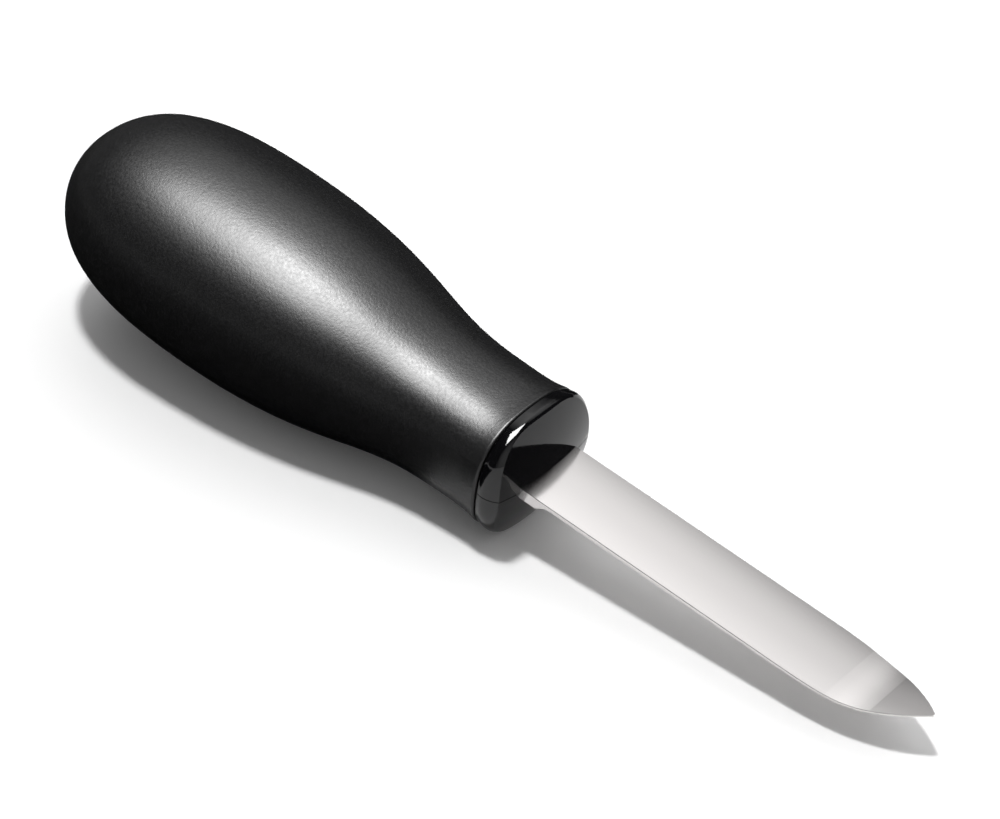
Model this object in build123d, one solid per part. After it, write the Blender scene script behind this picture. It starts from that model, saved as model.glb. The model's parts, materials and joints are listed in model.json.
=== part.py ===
from build123d import *
import math
import os

# An oyster knife, lying as it is put down on a table. A broad blunt blade with a point that turns
# up stands in a hard core of two halves, and a soft pear shaped grip is moulded over the core.
# Millimetres. The knife is drawn along +X with the middle plane of the blade at Z = 0 and the line
# where the blade leaves the core at X = 0. It is then tilted until it rests on its bulb and its
# collar, and moved so that the middle of the underside of its bounding box is the origin.

# Blade, from the line where it leaves the core
blade_length = 72.9
blade_width = 13.3
blade_thickness = 2.0
# what the grinding of the underside leaves: the blunt edges at the root and at the tip, and the tip
edge_thickness = 0.75
tip_edge_thickness = 0.3
tip_thickness = 0.6
tip_width = 0.6
# the flat left along the middle of the ground underside
spine_flat_width = 3.0
# the bevel that breaks the upper corners
corner_break = 0.06
# how far the blade is drawn above its upper face before that face is cut
spare_height = 0.3
# the unground block at the root, and the hollow run in which the grinding starts
root_block_length = 3.2
run_in_length = 2.6
# the spear shaped point, whose half width falls off with a power of the way along it
point_length = 23.9
point_power = 3
# the upward bend of the point, which starts this far from the tip
bend_reach = 14.9
bend_length = 7.0
bend_angle = 14.3
run_in_shares = [0, 0.25, 0.55, 1]
stretch_stations = 6

# Tang, inside the handle
shoulder_depth = 7.0
tang_width = 9.6
tang_length = 62.0
tang_end_radius = 3.0
tang_hole_diameter = 5.0
tang_hole_spacing = 26.0
tang_first_hole = 19.0

# Grip
grip_length = 92.1
bulb_width = 37.0
bulb_height = 33.9
grip_thickness = 3.0
grip_edge_round = 0.4
# how square the cross section is: 2 is an oval, and more is boxier
bulb_power = 2.1
front_power = 2.6
# share of the length from the butt, and share of the bulb's width there
outline_shares = [
    (0.003, 0.164), (0.012, 0.322), (0.04, 0.558), (0.09, 0.767), (0.15, 0.893), (0.22, 0.967),
    (0.30, 0.998), (0.38, 1.0), (0.46, 0.984), (0.54, 0.944), (0.62, 0.876), (0.70, 0.780),
    (0.77, 0.694), (0.84, 0.641), (0.92, 0.623), (1.0, 0.648),
]
section_points = 24

# Core: the collar and the domed face round the blade
collar_width = 23.4
collar_height = 22.9
collar_depth = 5.25
collar_gap = 0.3
collar_stations = 12
face_reach = 0.56
face_radius_across = 46.0
face_radius_upright = 29.0
# the straight land behind the rounding of the rim, and the rounding's radius, across and upright;
# the land widens forwards with this slope, and the rounding meets the face in a crease
land_slope = 0.18
land_across = 0.9
land_upright = 1.55
round_across = 3.6
round_upright = 0.85
# how far each half's dome is centred from the parting plane, which leaves a faint ridge there
ridge_offset = 0.9
# the fine groove along the parting plane, half of it in each half
groove_depth = 0.12
groove_half = 0.08
# inside the core
core_wall = 2.4
hollow_front = 34.0
spine_width = 13.6
spine_height = 13.0
rib_thickness = 1.8
rib_shares = [0.3, 0.62]
peg_diameter = 4.6
peg_clearance = 0.1
peg_reach = 4.0
socket_clearance = 0.4
# overrun of the cutting solids
overrun = 5.0

bend_start = blade_length - bend_reach
grip_front = face_reach - collar_depth


def section(x, width, height, power):
    """A squared oval across the knife at x."""
    points = []
    for i in range(section_points):
        angle = math.tau * i / section_points
        along, up = math.cos(angle), math.sin(angle)
        y = width / 2 * math.copysign(abs(along) ** (2 / power), along)
        z = height / 2 * math.copysign(abs(up) ** (2 / power), up)
        points.append((x, y, z))
    steps = [i / section_points for i in range(section_points + 1)]
    return Face(Wire([Edge.make_spline(points, periodic=True, parameters=steps)]))


def pear(inset):
    """The grip's outer form, or the same form drawn in by inset at the bulb and the butt."""
    butt = grip_front - grip_length + inset
    length = grip_length - inset
    sections = [Vertex(butt, 0, 0)]
    for along, wide in outline_shares:
        power = bulb_power + (front_power - bulb_power) * along ** 2
        width = (bulb_width - 2 * inset) * wide
        height = (bulb_height - 2 * inset) * wide
        sections.append(section(butt + length * along, width, height, power))
    return loft(sections)


def slab(x_low, x_high, width, z_low, z_high):
    """A box across the knife, centred in Y."""
    block = Box(x_high - x_low, width, z_high - z_low)
    return Pos((x_low + x_high) / 2, 0, (z_low + z_high) / 2) * block


def blade_rise(x):
    """How far the bend lifts the blade's upper face at x: an arc, then a straight stretch."""
    angle = math.radians(bend_angle)
    radius = bend_length / math.sin(angle)
    past = x - bend_start
    if past <= 0:
        return 0
    if past < bend_length:
        return radius - math.sqrt(radius ** 2 - past ** 2)
    return radius * (1 - math.cos(angle)) + (past - bend_length) * math.tan(angle)


def blade_section(x, width, edge, middle):
    """Across the blade: broken upper corners, blunt edges and a ground underside."""
    top = blade_thickness / 2 + blade_rise(x)
    half = width / 2
    share = width / blade_width
    broken = corner_break * share
    spare = spare_height * share
    flat = spine_flat_width / 2 * share
    corner = [(half - broken - spare, top + spare), (half, top - broken)]
    right = corner + [(half, top - edge), (flat, top - middle)]
    left = [(-y, z) for y, z in reversed(right)]
    return Face(Wire.make_polygon([(x, y, z) for y, z in right + left]))


def ground_section(x):
    """Across the fully ground blade at x."""
    ground_start = root_block_length + run_in_length
    worn = (x - ground_start) / (blade_length - ground_start)
    edge = edge_thickness + (tip_edge_thickness - edge_thickness) * worn
    share = max(x - blade_length + point_length, 0) / point_length
    left = 1 - share ** point_power
    width = tip_width + (blade_width - tip_width) * left
    middle = tip_thickness + (blade_thickness - tip_thickness) * left
    return blade_section(x, width, edge, middle)


def under_blade_top():
    """The room under the blade's upper face."""
    base = blade_thickness / 2
    y = -blade_width
    far = blade_length + overrun
    places = [-tang_length, bend_start, bend_start + bend_length / 2, bend_start + bend_length, far]
    start, bend, middle, straight, end = [(x, y, base + blade_rise(x)) for x in places]
    arc = ThreePointArc(bend, middle, straight)
    rest = Polyline(straight, end, (far, y, -overrun), (-tang_length, y, -overrun), start, bend)
    return extrude(Face(Wire([*arc.edges(), *rest.edges()])), 2 * blade_width, dir=(0, 1, 0))


def blade_solid():
    """The strip with its tang, ground underside and bent point."""
    ground_start = root_block_length + run_in_length
    root = blade_section(0, blade_width, blade_thickness, blade_thickness)
    strip = extrude(Pos(-shoulder_depth, 0, 0) * root, shoulder_depth + root_block_length, dir=(1, 0, 0))
    run_in = []
    for share in run_in_shares:
        # the wheel leaves an arc, steep at first and level where the grinding is full
        edge = edge_thickness + (blade_thickness - edge_thickness) * (1 - math.sin(math.pi / 2 * share))
        x = root_block_length + run_in_length * share
        run_in.append(blade_section(x, blade_width, edge, blade_thickness))
    strip += loft(run_in)
    strip += loft([ground_section(ground_start), ground_section(blade_length - point_length)])
    # the point in three stretches: before the bend, along it and after it
    ends = [blade_length - point_length, bend_start, bend_start + bend_length, blade_length]
    for low, high in zip(ends[:-1], ends[1:]):
        steps = [low + (high - low) * i / (stretch_stations - 1) for i in range(stretch_stations)]
        strip += loft([ground_section(x) for x in steps])
    strip &= under_blade_top()
    tang = slab(-tang_length, -shoulder_depth, tang_width, -blade_thickness / 2, blade_thickness / 2)
    corners = tang.edges().filter_by(Axis.Z).group_by(Axis.X)[0]
    strip += fillet(corners, tang_end_radius)
    hole = Cylinder(tang_hole_diameter / 2, blade_thickness + 2 * overrun)
    for x in peg_places():
        strip -= Pos(x, 0, 0) * hole
    return strip


def peg_places():
    """Where the core's pegs pass through the tang."""
    return [-tang_first_hole, -tang_first_hole - tang_hole_spacing]


def dome(reach, radius_upright):
    """A barrel that lies across the knife and bulges forward to reach."""
    axis_x = reach - radius_upright
    wide = collar_width
    edge_x = reach - face_radius_across + math.sqrt(face_radius_across ** 2 - wide ** 2)
    arc = ThreePointArc((edge_x, -wide, 0), (reach, 0, 0), (edge_x, wide, 0))
    sides = Polyline((edge_x, wide, 0), (axis_x, wide, 0), (axis_x, -wide, 0), (edge_x, -wide, 0))
    return revolve(Face(Wire([*arc.edges(), *sides.edges()])), Axis((axis_x, 0, 0), (0, 1, 0)))


def fall(way, radius):
    """How far a rounding has fallen away, way along it."""
    return max(way, 0) ** 2 / (2 * radius)


def land_drop(way, land):
    """How far the land stays under its own front end, way along it."""
    return land_slope * max(land - way, 0)


def collar(side, inset):
    """The collar and its domed face, drawn in by inset, for the upper half with side 1."""
    back = grip_front + collar_gap
    reach = face_reach + collar_gap
    sections = []
    for i in range(collar_stations):
        way = (reach - back) * i / (collar_stations - 1)
        drop_across = inset + land_drop(way, land_across) + fall(way - land_across, round_across)
        drop_upright = inset + land_drop(way, land_upright) + fall(way - land_upright, round_upright)
        width = collar_width - 2 * drop_across
        height = collar_height - 2 * drop_upright
        sections.append(section(back + way, width, height, front_power))
    return loft(sections) & (Pos(-inset, 0, -side * ridge_offset) * dome(face_reach, face_radius_upright))


def half_block(side, start):
    """All the room above the parting plane with side 1 or below it with -1, from start outward."""
    length = grip_length + collar_depth + overrun
    block = slab(-length, length, 2 * bulb_width, start, bulb_height)
    return block if side > 0 else Rotation(180, 0, 0) * block


def core_half(side):
    """One half of the core, hollow in the bulb, with a ribbed spine that holds the tang."""
    neck_width = (bulb_width - 2 * grip_thickness) * outline_shares[-1][1]
    neck_height = (bulb_height - 2 * grip_thickness) * outline_shares[-1][1]
    neck = extrude(section(grip_front, neck_width, neck_height, front_power), 2 * collar_gap, dir=(1, 0, 0))
    solid = (pear(grip_thickness) + neck + collar(side, groove_depth)) & half_block(side, 0)
    solid += collar(side, 0) & half_block(side, groove_half)
    hollow_back = grip_front - grip_length
    room = slab(hollow_back, -hollow_front, bulb_width, -bulb_height, bulb_height)
    bays = pear(grip_thickness + core_wall) & room
    bays -= slab(-tang_length - core_wall, 0, spine_width, -spine_height / 2, spine_height / 2)
    for share in rib_shares:
        x = -hollow_front + (hollow_back + hollow_front) * share
        bays -= slab(x - rib_thickness / 2, x + rib_thickness / 2, bulb_width, -bulb_height, bulb_height)
    solid -= bays
    half_thick = blade_thickness / 2
    solid -= slab(-shoulder_depth, collar_depth, blade_width, -half_thick, half_thick)
    tang = slab(-tang_length, -shoulder_depth, tang_width, -half_thick, half_thick)
    solid -= fillet(tang.edges().filter_by(Axis.Z).group_by(Axis.X)[0], tang_end_radius)
    for x in peg_places():
        if side > 0:
            peg = Cylinder(peg_diameter / 2, 2 * (half_thick + peg_reach))
            room = slab(-peg_diameter, peg_diameter, bulb_width, -bulb_height, peg_reach)
            solid += Pos(x, 0, 0) * (peg & room)
        else:
            depth = half_thick + peg_reach + socket_clearance
            solid -= Pos(x, 0, 0) * Cylinder(peg_diameter / 2 + peg_clearance, 2 * depth)
    return solid


def grip_solid():
    """The soft cover, whose inside is the core's outside."""
    cover = pear(0)
    front = cover.faces().sort_by(Axis.X)[-1]
    cover = fillet(front.edges(), grip_edge_round)
    return cover - pear(grip_thickness)


def laid_down(pieces):
    """The pieces tilted onto the bulb and the collar, over the middle of their bounding box."""
    # the collar touches where its rounding starts
    ring_x = grip_front + collar_gap + land_upright
    tilts = []
    for along, wide in outline_shares:
        x = grip_front - grip_length * (1 - along)
        if along < outline_shares[-2][0]:
            tilts.append(math.atan2((bulb_height * wide - collar_height) / 2, ring_x - x))
    turn = Rotation(0, math.degrees(max(tilts)), 0)
    turned = {name: turn * piece for name, piece in pieces.items()}
    box = Compound(children=[Compound(piece.solids()) for piece in turned.values()]).bounding_box()
    shift = Pos(-(box.min.X + box.max.X) / 2, 0, -box.min.Z)
    print("tilt", math.degrees(max(tilts)), "shift", shift.position)
    return {name: shift * piece for name, piece in turned.items()}


pieces = {
    "blade": blade_solid(),
    "core_upper": core_half(1),
    "core_lower": core_half(-1),
    "grip": grip_solid(),
}
os.makedirs("parts", exist_ok=True)
for name, piece in laid_down(pieces).items():
    export_step(piece, f"parts/{name}.step")
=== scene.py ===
"""An oyster knife on a pale studio floor: blade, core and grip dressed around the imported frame."""

import json
import logging
import math
from dataclasses import dataclass
from enum import Enum

import bpy
from mathutils import Matrix, Vector

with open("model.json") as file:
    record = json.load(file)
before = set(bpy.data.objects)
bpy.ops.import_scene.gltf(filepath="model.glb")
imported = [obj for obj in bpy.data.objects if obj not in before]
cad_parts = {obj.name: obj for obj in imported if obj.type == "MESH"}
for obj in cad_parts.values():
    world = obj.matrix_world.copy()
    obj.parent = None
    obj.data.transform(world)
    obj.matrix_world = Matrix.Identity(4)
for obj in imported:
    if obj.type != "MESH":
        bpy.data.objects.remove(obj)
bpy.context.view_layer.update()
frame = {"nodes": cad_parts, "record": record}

MM = 0.001
PHOTO_WIDTH, PHOTO_HEIGHT = 1000, 819

# a Mix node's sockets, by number because their names repeat
FACTOR, NUMBER_A, NUMBER_B, COLOUR_A, COLOUR_B = 0, 2, 3, 6, 7
COLOUR_RESULT = 2

# a noise pattern seldom leaves this span
NOISE_LOW, NOISE_HIGH = 0.3, 0.7

log = logging.getLogger("oyster_knife")


class Piece(Enum):
    """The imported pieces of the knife, by their nodes' names."""

    BLADE = "blade"
    CORE_UPPER = "core_upper"
    CORE_LOWER = "core_lower"
    GRIP = "grip"


@dataclass(frozen=True)
class KnifeAxes:
    """Where the lying knife is: its root point and its own axes, in the frame's metres.

    The knife's own coordinates run along the blade, across it and up from its middle plane, in
    millimetres, from the point where the blade leaves the core.
    """

    root: Vector
    along: Vector
    across: Vector
    up: Vector

    # where the mount on the blade's flat side lies, in the knife's own millimetres
    MOUNT_ALONG = 27.0
    MOUNT_UP = 1.0

    @classmethod
    def from_record(cls, record: dict) -> "KnifeAxes":
        """Read the axes from the mount on the blade's flat upper side.

        Args:
            record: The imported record.

        Returns:
            The knife's axes.
        """
        mount = next(m for m in record["mounts"] if m["name"] == "blade_flat")
        up = Vector(mount["axis"]).normalized()
        across = Vector((0, 1, 0))
        along = across.cross(up)
        root = Vector(mount["pos_m"]) - along * cls.MOUNT_ALONG * MM - up * cls.MOUNT_UP * MM
        return cls(root, along, across, up)

    def turned(self, vector: Vector) -> Vector:
        """Turn a direction from the knife's own axes into the frame's."""
        return self.along * vector[0] + self.across * vector[1] + self.up * vector[2]

    def placed(self, x: float, y: float, z: float) -> Vector:
        """Give the place in the frame of a point in the knife's own millimetres."""
        return self.root + self.turned(Vector((x, y, z))) * MM


def linear(hex_colour: str) -> tuple[float, float, float, float]:
    """Turn an sRGB hex colour into Blender's linear colour, by the sRGB curve.

    Args:
        hex_colour: Six hex digits, with or without a leading mark.

    Returns:
        Linear red, green, blue and an alpha of 1.
    """
    digits = hex_colour.lstrip("#")
    shades = [int(digits[i:i + 2], 16) / 255 for i in (0, 2, 4)]
    values = [s / 12.92 if s <= 0.04045 else ((s + 0.055) / 1.055) ** 2.4 for s in shades]
    return (*values, 1.0)


def per_metre(size_mm: float) -> float:
    """Scale for a pattern whose cells are size_mm wide, on coordinates in metres."""
    return 1 / (size_mm * MM)


def add_node(tree: bpy.types.NodeTree, kind: str, settings: dict | None = None,
             links: dict | None = None, **attributes: object) -> bpy.types.Node:
    """Add one node with its settings and the links into it.

    Args:
        tree: The node tree.
        kind: The node's Blender type.
        settings: Values by input name or number.
        links: Output sockets by input name or number.
        attributes: Values for the node's own attributes.

    Returns:
        The new node.
    """
    node = tree.nodes.new(kind)
    for name, value in attributes.items():
        setattr(node, name, value)
    for name, value in (settings or {}).items():
        node.inputs[name].default_value = value
    for name, source in (links or {}).items():
        tree.links.new(source, node.inputs[name])
    return node


def new_material(name: str) -> tuple[bpy.types.Material, bpy.types.NodeTree]:
    """Make an empty node material.

    Args:
        name: The material's name.

    Returns:
        The material and its node tree.
    """
    material = bpy.data.materials.new(name)
    material.use_nodes = True
    material.node_tree.nodes.clear()
    return material, material.node_tree


@dataclass(frozen=True)
class MouldedRubber:
    """Thermoplastic rubber, moulded in a finely blasted mould: the soft grip.

    A black body with a wide soft shine, broken up by the fine grain that the mould leaves.
    """

    colour: str = "08080a"
    worn_colour: str = "111112"
    roughness: float = 0.38
    roughness_spread: float = 0.05
    # fillers dull the rubber's own shine
    specular: float = 0.38
    ior: float = 1.52
    # a blasted grain is about 0.15 mm wide, and is drawn coarser here so that it shows
    grain_mm: float = 0.45
    grain_height_mm: float = 0.03
    grain_detail: float = 3.0
    grain_harshness: float = 0.6
    mottle_mm: float = 2.2
    mottle_detail: float = 4.0
    mottle_harshness: float = 0.65

    def build(self) -> bpy.types.Material:
        """Make the material.

        Returns:
            The material.
        """
        material, tree = new_material("moulded_black_rubber")
        place = add_node(tree, "ShaderNodeTexCoord").outputs["Object"]
        grain = add_node(tree, "ShaderNodeTexNoise",
                         {"Scale": per_metre(self.grain_mm), "Detail": self.grain_detail,
                          "Roughness": self.grain_harshness}, {"Vector": place})
        mottle = add_node(tree, "ShaderNodeTexNoise",
                          {"Scale": per_metre(self.mottle_mm), "Detail": self.mottle_detail,
                           "Roughness": self.mottle_harshness}, {"Vector": place})
        colour = add_node(tree, "ShaderNodeMix",
                          {COLOUR_A: linear(self.colour), COLOUR_B: linear(self.worn_colour)},
                          {FACTOR: mottle.outputs["Fac"]}, data_type="RGBA")
        rough = add_node(tree, "ShaderNodeMapRange",
                         {"From Min": NOISE_LOW, "From Max": NOISE_HIGH,
                          "To Min": self.roughness - self.roughness_spread,
                          "To Max": self.roughness + self.roughness_spread},
                         {"Value": grain.outputs["Fac"]})
        bump = add_node(tree, "ShaderNodeBump",
                        {"Strength": 1.0, "Distance": self.grain_height_mm * MM},
                        {"Height": grain.outputs["Fac"]})
        shader = add_node(tree, "ShaderNodeBsdfPrincipled",
                          {"IOR": self.ior, "Specular IOR Level": self.specular},
                          {"Base Color": colour.outputs[COLOUR_RESULT],
                           "Roughness": rough.outputs[0], "Normal": bump.outputs["Normal"]})
        add_node(tree, "ShaderNodeOutputMaterial", links={"Surface": shader.outputs["BSDF"]})
        return material


@dataclass(frozen=True)
class PolishedPlastic:
    """Black acetal, moulded in a polished mould: the hard core.

    Deep black with sharp reflections, very slightly uneven where the plastic shrank.
    """

    colour: str = "08080a"
    roughness: float = 0.07
    ior: float = 1.48
    ripple_mm: float = 6.0
    ripple_height_mm: float = 0.006
    ripple_detail: float = 1.0

    def build(self) -> bpy.types.Material:
        """Make the material.

        Returns:
            The material.
        """
        material, tree = new_material("polished_black_plastic")
        place = add_node(tree, "ShaderNodeTexCoord").outputs["Object"]
        ripple = add_node(tree, "ShaderNodeTexNoise",
                          {"Scale": per_metre(self.ripple_mm), "Detail": self.ripple_detail},
                          {"Vector": place})
        bump = add_node(tree, "ShaderNodeBump",
                        {"Strength": 1.0, "Distance": self.ripple_height_mm * MM},
                        {"Height": ripple.outputs["Fac"]})
        shader = add_node(tree, "ShaderNodeBsdfPrincipled",
                          {"Base Color": linear(self.colour), "Roughness": self.roughness,
                           "IOR": self.ior}, {"Normal": bump.outputs["Normal"]})
        add_node(tree, "ShaderNodeOutputMaterial", links={"Surface": shader.outputs["BSDF"]})
        return material


@dataclass(frozen=True)
class BuffedSteel:
    """Stainless steel strip, rolled and then buffed along its length: the blade.

    A bright, slightly warm metal whose reflections are soft, and drawn out a little across the
    fine buffing lines. The buffing leaves the faces crowned across their width, so that they
    darken towards the edge that turns away.
    """

    colour: str = "d9d6d5"
    roughness: float = 0.12
    roughness_spread: float = 0.018
    half_width_mm: float = 6.65
    crown_mm: float = 0.16
    crown_power: float = 2.3
    # buffing lines are about 0.02 mm wide, and are drawn coarser here so that they show
    line_mm: float = 0.12
    line_stretch: float = 60.0
    line_height_mm: float = 0.0012
    line_detail: float = 3.0

    def crown(self, tree: bpy.types.NodeTree,
              place: bpy.types.NodeSocket) -> bpy.types.NodeSocket:
        """Add the nodes that crown the faces across the blade's width.

        Args:
            tree: The steel's node tree.
            place: The place on the blade, whose Y runs across it from the middle.

        Returns:
            The crowned surface's normal.
        """
        side = add_node(tree, "ShaderNodeSeparateXYZ", links={"Vector": place}).outputs["Y"]
        aside = add_node(tree, "ShaderNodeMath", links={0: side}, operation="ABSOLUTE")
        share = add_node(tree, "ShaderNodeMath", {1: per_metre(self.half_width_mm)},
                         {0: aside.outputs[0]}, operation="MULTIPLY")
        fall = add_node(tree, "ShaderNodeMath", {1: self.crown_power}, {0: share.outputs[0]},
                        operation="POWER")
        crown = add_node(tree, "ShaderNodeBump", {"Strength": 1.0, "Distance": self.crown_mm * MM},
                         {"Height": fall.outputs[0]}, invert=True)
        return crown.outputs["Normal"]

    def build(self) -> bpy.types.Material:
        """Make the material.

        Returns:
            The material.
        """
        material, tree = new_material("buffed_stainless_steel")
        place = add_node(tree, "ShaderNodeTexCoord").outputs["Object"]
        stretch = add_node(tree, "ShaderNodeMapping", {"Scale": (1 / self.line_stretch, 1.0, 1.0)},
                           {"Vector": place})
        lines = add_node(tree, "ShaderNodeTexNoise",
                         {"Scale": per_metre(self.line_mm), "Detail": self.line_detail},
                         {"Vector": stretch.outputs["Vector"]})
        rough = add_node(tree, "ShaderNodeMapRange",
                         {"From Min": NOISE_LOW, "From Max": NOISE_HIGH,
                          "To Min": self.roughness - self.roughness_spread,
                          "To Max": self.roughness + self.roughness_spread},
                         {"Value": lines.outputs["Fac"]})
        bump = add_node(tree, "ShaderNodeBump",
                        {"Strength": 1.0, "Distance": self.line_height_mm * MM},
                        {"Height": lines.outputs["Fac"], "Normal": self.crown(tree, place)})
        shader = add_node(tree, "ShaderNodeBsdfPrincipled",
                          {"Base Color": linear(self.colour), "Metallic": 1.0},
                          {"Roughness": rough.outputs[0], "Normal": bump.outputs["Normal"]})
        add_node(tree, "ShaderNodeOutputMaterial", links={"Surface": shader.outputs["BSDF"]})
        return material


def dress(piece: Piece, material: bpy.types.Material) -> None:
    """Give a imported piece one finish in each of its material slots.

    Args:
        piece: The piece.
        material: The finish.
    """
    for slot in frame["nodes"][piece.value].material_slots:
        slot.material = material
    log.info("dressed %s in %s", piece.value, material.name)


@dataclass
class Blade:
    """The steel strip with its tang."""

    finish: BuffedSteel = BuffedSteel()

    def build(self) -> None:
        """Dress the blade."""
        dress(Piece.BLADE, self.finish.build())


@dataclass
class Core:
    """The two hard halves that close over the tang and show as the collar."""

    finish: PolishedPlastic = PolishedPlastic()

    def build(self) -> None:
        """Dress both halves in one finish."""
        material = self.finish.build()
        for half in (Piece.CORE_UPPER, Piece.CORE_LOWER):
            dress(half, material)


@dataclass
class Grip:
    """The soft pear shaped cover."""

    finish: MouldedRubber = MouldedRubber()

    def build(self) -> None:
        """Dress the grip."""
        dress(Piece.GRIP, self.finish.build())


@dataclass(frozen=True)
class PhotoCamera:
    """The camera of the photograph, in the knife's own axes.

    Angles are in degrees, the distance is in millimetres from the root point to the camera, and
    root_x and root_y are the pixels where the root point shows.
    """

    azimuth: float = -55.91
    elevation: float = 43.57
    roll: float = 9.19
    distance: float = 620.09
    pixels_per_mm: float = 6.5498
    root_x: float = 547.54
    root_y: float = 471.69
    sensor_mm: float = 36.0
    # the nearest and the farthest that the camera sees, in metres
    nearest: float = 0.01
    farthest: float = 20.0

    def build(self, axes: KnifeAxes) -> None:
        """Place the camera.

        Args:
            axes: Where the lying knife is.
        """
        azimuth, elevation, roll = map(math.radians, (self.azimuth, self.elevation, self.roll))
        towards = Vector((math.cos(elevation) * math.cos(azimuth),
                          math.cos(elevation) * math.sin(azimuth), math.sin(elevation)))
        level = Vector((0, 0, 1)).cross(towards).normalized()
        upright = towards.cross(level)
        right = level * math.cos(roll) + upright * math.sin(roll)
        top = upright * math.cos(roll) - level * math.sin(roll)
        aside = (self.root_x - PHOTO_WIDTH / 2) / self.pixels_per_mm
        raised = (PHOTO_HEIGHT / 2 - self.root_y) / self.pixels_per_mm
        place = towards * self.distance - right * aside - top * raised
        data = bpy.data.cameras.new("camera")
        data.sensor_width = self.sensor_mm
        data.lens = self.pixels_per_mm * self.distance / PHOTO_WIDTH * self.sensor_mm
        data.clip_start, data.clip_end = self.nearest, self.farthest
        camera = bpy.data.objects.new("camera", data)
        bpy.context.scene.collection.objects.link(camera)
        turn = Matrix([axes.turned(v) for v in (right, top, towards)]).transposed()
        camera.matrix_world = Matrix.Translation(axes.placed(*place)) @ turn.to_4x4()
        bpy.context.scene.camera = camera


@dataclass(frozen=True)
class Lamp:
    """A square softbox, placed by its direction from the knife.

    The direction is in the knife's own axes, the sizes are in metres, and the strength is the
    light that it gives a surface that faces it, where 1 lights white to white. A lamp for shine
    alone shows in the shiny surfaces and doesn't light them.
    """

    name: str
    direction: tuple[float, float, float]
    side: float
    distance: float
    strength: float
    shine_alone: bool = False

    def build(self, axes: KnifeAxes) -> None:
        """Hang the lamp so that it faces the knife's root point.

        Args:
            axes: Where the lying knife is.
        """
        data = bpy.data.lights.new(self.name, "AREA")
        data.shape = "RECTANGLE"
        data.size = data.size_y = self.side
        # the power that gives a small patch at this distance an irradiance of pi times the strength
        data.energy = self.strength * math.pi * math.pi * self.distance ** 2
        lamp = bpy.data.objects.new(self.name, data)
        bpy.context.scene.collection.objects.link(lamp)
        towards = axes.turned(Vector(self.direction).normalized())
        lamp.location = axes.root + towards * self.distance
        lamp.rotation_euler = towards.to_track_quat("Z", "Y").to_euler()
        lamp.visible_diffuse = not self.shine_alone


@dataclass(frozen=True)
class Panel:
    """A soft bright patch of the room.

    The direction is in the knife's own axes. The patch is as bright as its strength out to the
    inner angle and fades evenly to nothing at the outer one, in degrees from its middle.
    """

    direction: tuple[float, float, float]
    inner: float
    outer: float
    strength: float

    def build(self, tree: bpy.types.NodeTree, seen_along: bpy.types.NodeSocket,
              axes: KnifeAxes) -> bpy.types.NodeSocket:
        """Add the nodes that give the patch's brightness in the direction that a ray takes.

        Args:
            tree: The room's node tree.
            seen_along: The ray's direction.
            axes: Where the lying knife is.

        Returns:
            The brightness.
        """
        middle = axes.turned(Vector(self.direction).normalized())
        nearness = add_node(tree, "ShaderNodeVectorMath", {1: middle}, {0: seen_along},
                            operation="DOT_PRODUCT")
        patch = add_node(tree, "ShaderNodeMapRange",
                         {"From Min": math.cos(math.radians(self.outer)),
                          "From Max": math.cos(math.radians(self.inner)),
                          "To Max": self.strength}, {"Value": nearness.outputs["Value"]})
        return patch.outputs[0]


def lay_sheet(name: str, corners: list[tuple[float, float, float]],
              material: bpy.types.Material) -> bpy.types.Object:
    """Make a flat four sided sheet in one finish.

    Args:
        name: The sheet's name.
        corners: Its corners in the frame's metres, in order.
        material: The finish.

    Returns:
        The sheet.
    """
    mesh = bpy.data.meshes.new(name)
    mesh.from_pydata(corners, [], [(0, 1, 2, 3)])
    mesh.materials.append(material)
    sheet = bpy.data.objects.new(name, mesh)
    bpy.context.scene.collection.objects.link(sheet)
    return sheet


@dataclass(frozen=True)
class BlackCard:
    """A black card that lies flat round the grip and behind it, and shows in shiny surfaces alone.

    Its sides are in the knife's own millimetres, along it and across it, and it lies a little
    clear of the floor.
    """

    along: tuple[float, float] = (-700.0, -19.0)
    across: tuple[float, float] = (-240.0, 1200.0)
    raised_mm: float = 0.3
    colour: str = "161616"

    def build(self, axes: KnifeAxes) -> None:
        """Lay the card on the floor.

        Args:
            axes: Where the lying knife is.
        """
        material, tree = new_material("black_card")
        shader = add_node(tree, "ShaderNodeBsdfDiffuse", {"Color": linear(self.colour)})
        add_node(tree, "ShaderNodeOutputMaterial", links={"Surface": shader.outputs["BSDF"]})
        corners = []
        for x, y in ((0, 0), (1, 0), (1, 1), (0, 1)):
            corner = axes.placed(self.along[x], self.across[y], 0)
            corners.append((corner.x, corner.y, self.raised_mm * MM))
        card = lay_sheet("black_card", corners, material)
        card.visible_camera = card.visible_diffuse = card.visible_shadow = False


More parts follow.
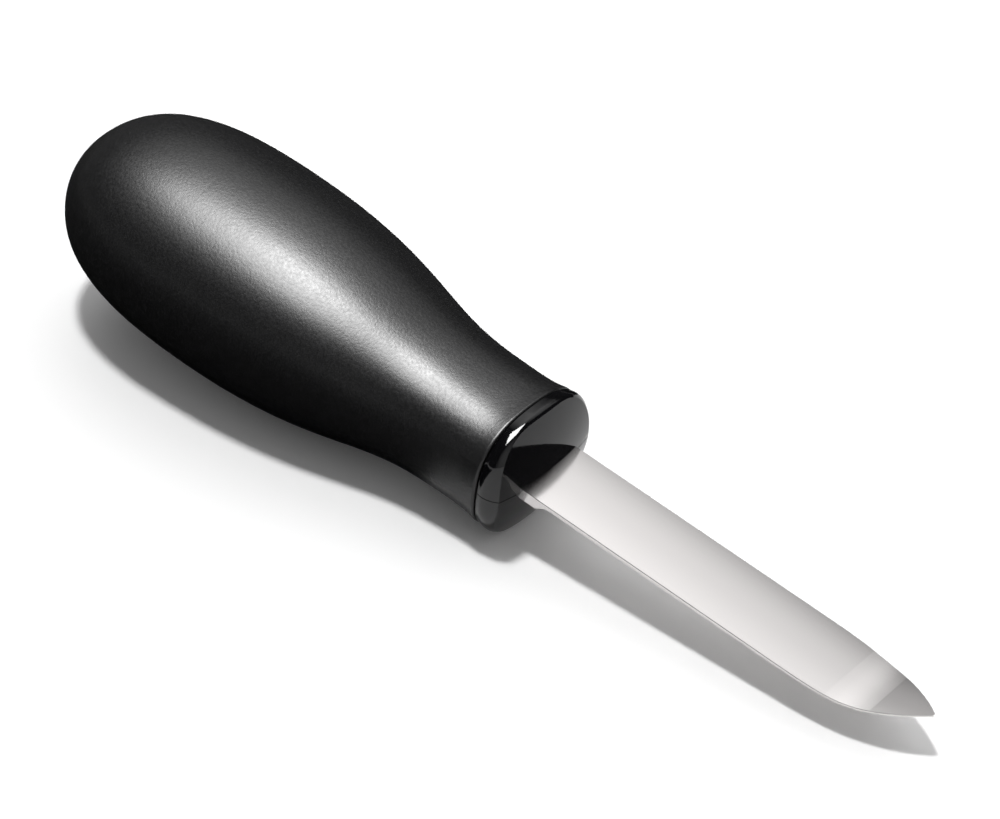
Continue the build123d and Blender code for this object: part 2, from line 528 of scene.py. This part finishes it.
@dataclass(frozen=True)
class Studio:
    """The pale floor, the lamps and the room with its soft panels.

    The room's three strengths are what lights a surface evenly, what shiny surfaces see between
    the panels, and what the camera sees.
    """

    floor_colour: str = "f4f4f4"
    floor_seen_colour: str = "ffffff"
    floor_size: float = 6.0
    room_colour: str = "ffffff"
    room_light: float = 0.28
    room_mirrored: float = 0.03
    room_seen: float = 1.0
    lamps: tuple[Lamp, ...] = (
        Lamp("key_softbox", (-0.24, -0.02, 0.97), 0.16, 1.6, 0.64),
        Lamp("shine_softbox", (-0.24, -0.14, 0.96), 1.1, 1.5, 4.6, shine_alone=True),
    )
    card: BlackCard = BlackCard()
    # from behind the knife, a light that no shiny surface shows
    wash: Panel = Panel((0.2, 0.8, 0.55), 10, 60, 0.5)
    # in front of the knife, for shiny surfaces alone: the blade shows it when seen from behind
    front: Panel = Panel((0.70, -0.62, 0.34), 5, 45, 0.55)
    panels: tuple[Panel, ...] = (
        # behind the knife, where the flat of the blade looks, and lower, where its point looks
        Panel((-0.40, 0.46, 0.79), 4.3, 22.0, 0.57),
        Panel((-0.55, 0.44, 0.71), 2.6, 24.5, 0.88),
        # higher and further along, seen in the collar's face by the root of the blade
        Panel((0.0, 0.60, 0.80), 4, 18, 0.9),
    )

    def build_floor(self) -> None:
        """Lay the floor that the knife lies on, a little whiter to the camera than as a light."""
        material, tree = new_material("pale_floor")
        rays = add_node(tree, "ShaderNodeLightPath").outputs
        colour = add_node(tree, "ShaderNodeMix",
                          {COLOUR_A: linear(self.floor_colour),
                           COLOUR_B: linear(self.floor_seen_colour)},
                          {FACTOR: rays["Is Camera Ray"]}, data_type="RGBA")
        shader = add_node(tree, "ShaderNodeBsdfDiffuse",
                          links={"Color": colour.outputs[COLOUR_RESULT]})
        add_node(tree, "ShaderNodeOutputMaterial", links={"Surface": shader.outputs["BSDF"]})
        half = self.floor_size / 2
        corners = [(-half, -half, 0), (half, -half, 0), (half, half, 0), (-half, half, 0)]
        floor = lay_sheet("floor", corners, material)

    def build_room(self, axes: KnifeAxes) -> None:
        """Make the room: white to the camera, and otherwise dim with soft bright panels.

        Args:
            axes: Where the lying knife is.
        """
        world = bpy.data.worlds.new("white_room")
        world.use_nodes = True
        tree = world.node_tree
        tree.nodes.clear()
        seen_along = add_node(tree, "ShaderNodeTexCoord").outputs["Generated"]
        rays = add_node(tree, "ShaderNodeLightPath").outputs
        wash = self.wash.build(tree, seen_along, axes)
        front = self.front.build(tree, seen_along, axes)
        lit = add_node(tree, "ShaderNodeMath", {1: self.room_light}, {0: wash}, operation="ADD")
        mirrored = add_node(tree, "ShaderNodeMath", {1: self.room_mirrored}, {0: front},
                            operation="ADD")
        base = add_node(tree, "ShaderNodeMix",
                        links={FACTOR: rays["Is Glossy Ray"], NUMBER_A: lit.outputs[0],
                               NUMBER_B: mirrored.outputs[0]})
        light = base.outputs[0]
        for panel in self.panels:
            patch = panel.build(tree, seen_along, axes)
            total = add_node(tree, "ShaderNodeMath", links={0: light, 1: patch}, operation="ADD")
            light = total.outputs[0]
        strength = add_node(tree, "ShaderNodeMix", {NUMBER_B: self.room_seen},
                            {FACTOR: rays["Is Camera Ray"], NUMBER_A: light})
        background = add_node(tree, "ShaderNodeBackground", {"Color": linear(self.room_colour)},
                              {"Strength": strength.outputs[0]})
        add_node(tree, "ShaderNodeOutputWorld", links={"Surface": background.outputs[0]})
        bpy.context.scene.world = world

    def build(self, axes: KnifeAxes) -> None:
        """Set up the whole studio.

        Args:
            axes: Where the lying knife is.
        """
        self.build_floor()
        self.card.build(axes)
        self.build_room(axes)
        for lamp in self.lamps:
            lamp.build(axes)
        bpy.context.scene.view_settings.view_transform = "Standard"
        log.info("set up the floor, the card, the room and %d lamps", len(self.lamps))


def main() -> None:
    """Dress the knife and set the studio up around it."""
    logging.basicConfig(level=logging.INFO)
    axes = KnifeAxes.from_record(frame["record"])
    PhotoCamera().build(axes)
    for assembly in (Blade(), Core(), Grip()):
        assembly.build()
    Studio().build(axes)


if __name__ == "__main__":
    main()
